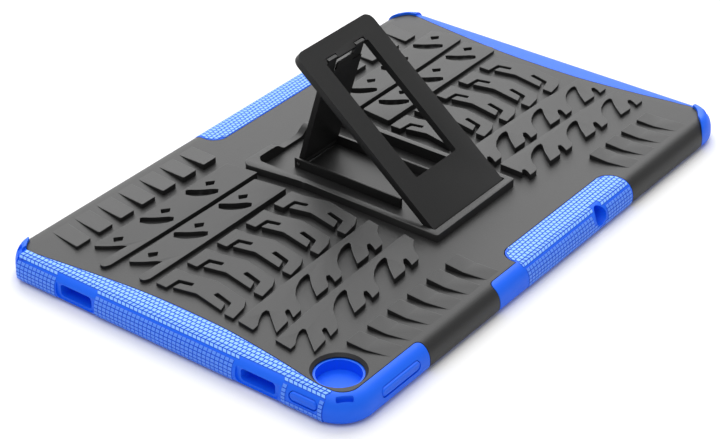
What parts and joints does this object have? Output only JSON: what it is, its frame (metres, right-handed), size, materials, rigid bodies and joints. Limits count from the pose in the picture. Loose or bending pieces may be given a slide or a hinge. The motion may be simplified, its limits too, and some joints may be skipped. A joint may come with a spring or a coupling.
{
  "type": "tablet case",
  "caption": "Rugged tablet case: a soft sleeve inside a hard treaded shell, with a fold-out stand plate, its strut, a camera hole, side openings and button covers.",
  "frame": {"origin": "middle of the case, in the plane of the lip on the screen side", "axes": "+X along the long side, +Y along the short side from the side with the volume button, +Z out of the back"},
  "size_m": [0.26, 0.1668, 0.0679],
  "materials": {
    "soft_blue": "satin moulded rubber, woven relief on the grips",
    "shell_black": "fine moulded texture",
    "stand_black": "fine moulded texture",
    "strut_black": "fine moulded texture",
    "pin_steel": "drawn wire",
    "button_blue": "satin moulded rubber"
  },
  "bodies": {
    "case": {"inner_sleeve": "soft_blue", "outer_shell": "shell_black", "plate_pin_left": "pin_steel", "plate_pin_right": "pin_steel", "strut_pin": "pin_steel"},
    "stand": {"stand_plate": "stand_black"},
    "strut": {"stand_strut": "strut_black"},
    "power": {"power_button": "button_blue"},
    "volume": {"volume_button": "button_blue"}
  },
  "joints": [
    {"name": "plate_hinge", "type": "hinge", "parent": "case", "child": "stand", "pos_m": [0, -0.0417, 0.0129], "axis": [1, 0, 0], "range_deg": [-39.1, 35.9]},
    {"name": "strut_hinge", "type": "hinge", "parent": "case", "child": "strut", "pos_m": [0, 0.0319, 0.01165], "axis": [1, 0, 0], "range_deg": [0, 73.8]},
    {"name": "power_press", "type": "slide", "parent": "case", "child": "power", "axis": [1, 0, 0], "range_m": [0, 0.0005], "stiffness_N_per_m": 900},
    {"name": "volume_press", "type": "slide", "parent": "case", "child": "volume", "axis": [0, 1, 0], "range_m": [0, 0.0005], "stiffness_N_per_m": 900}
  ]
}
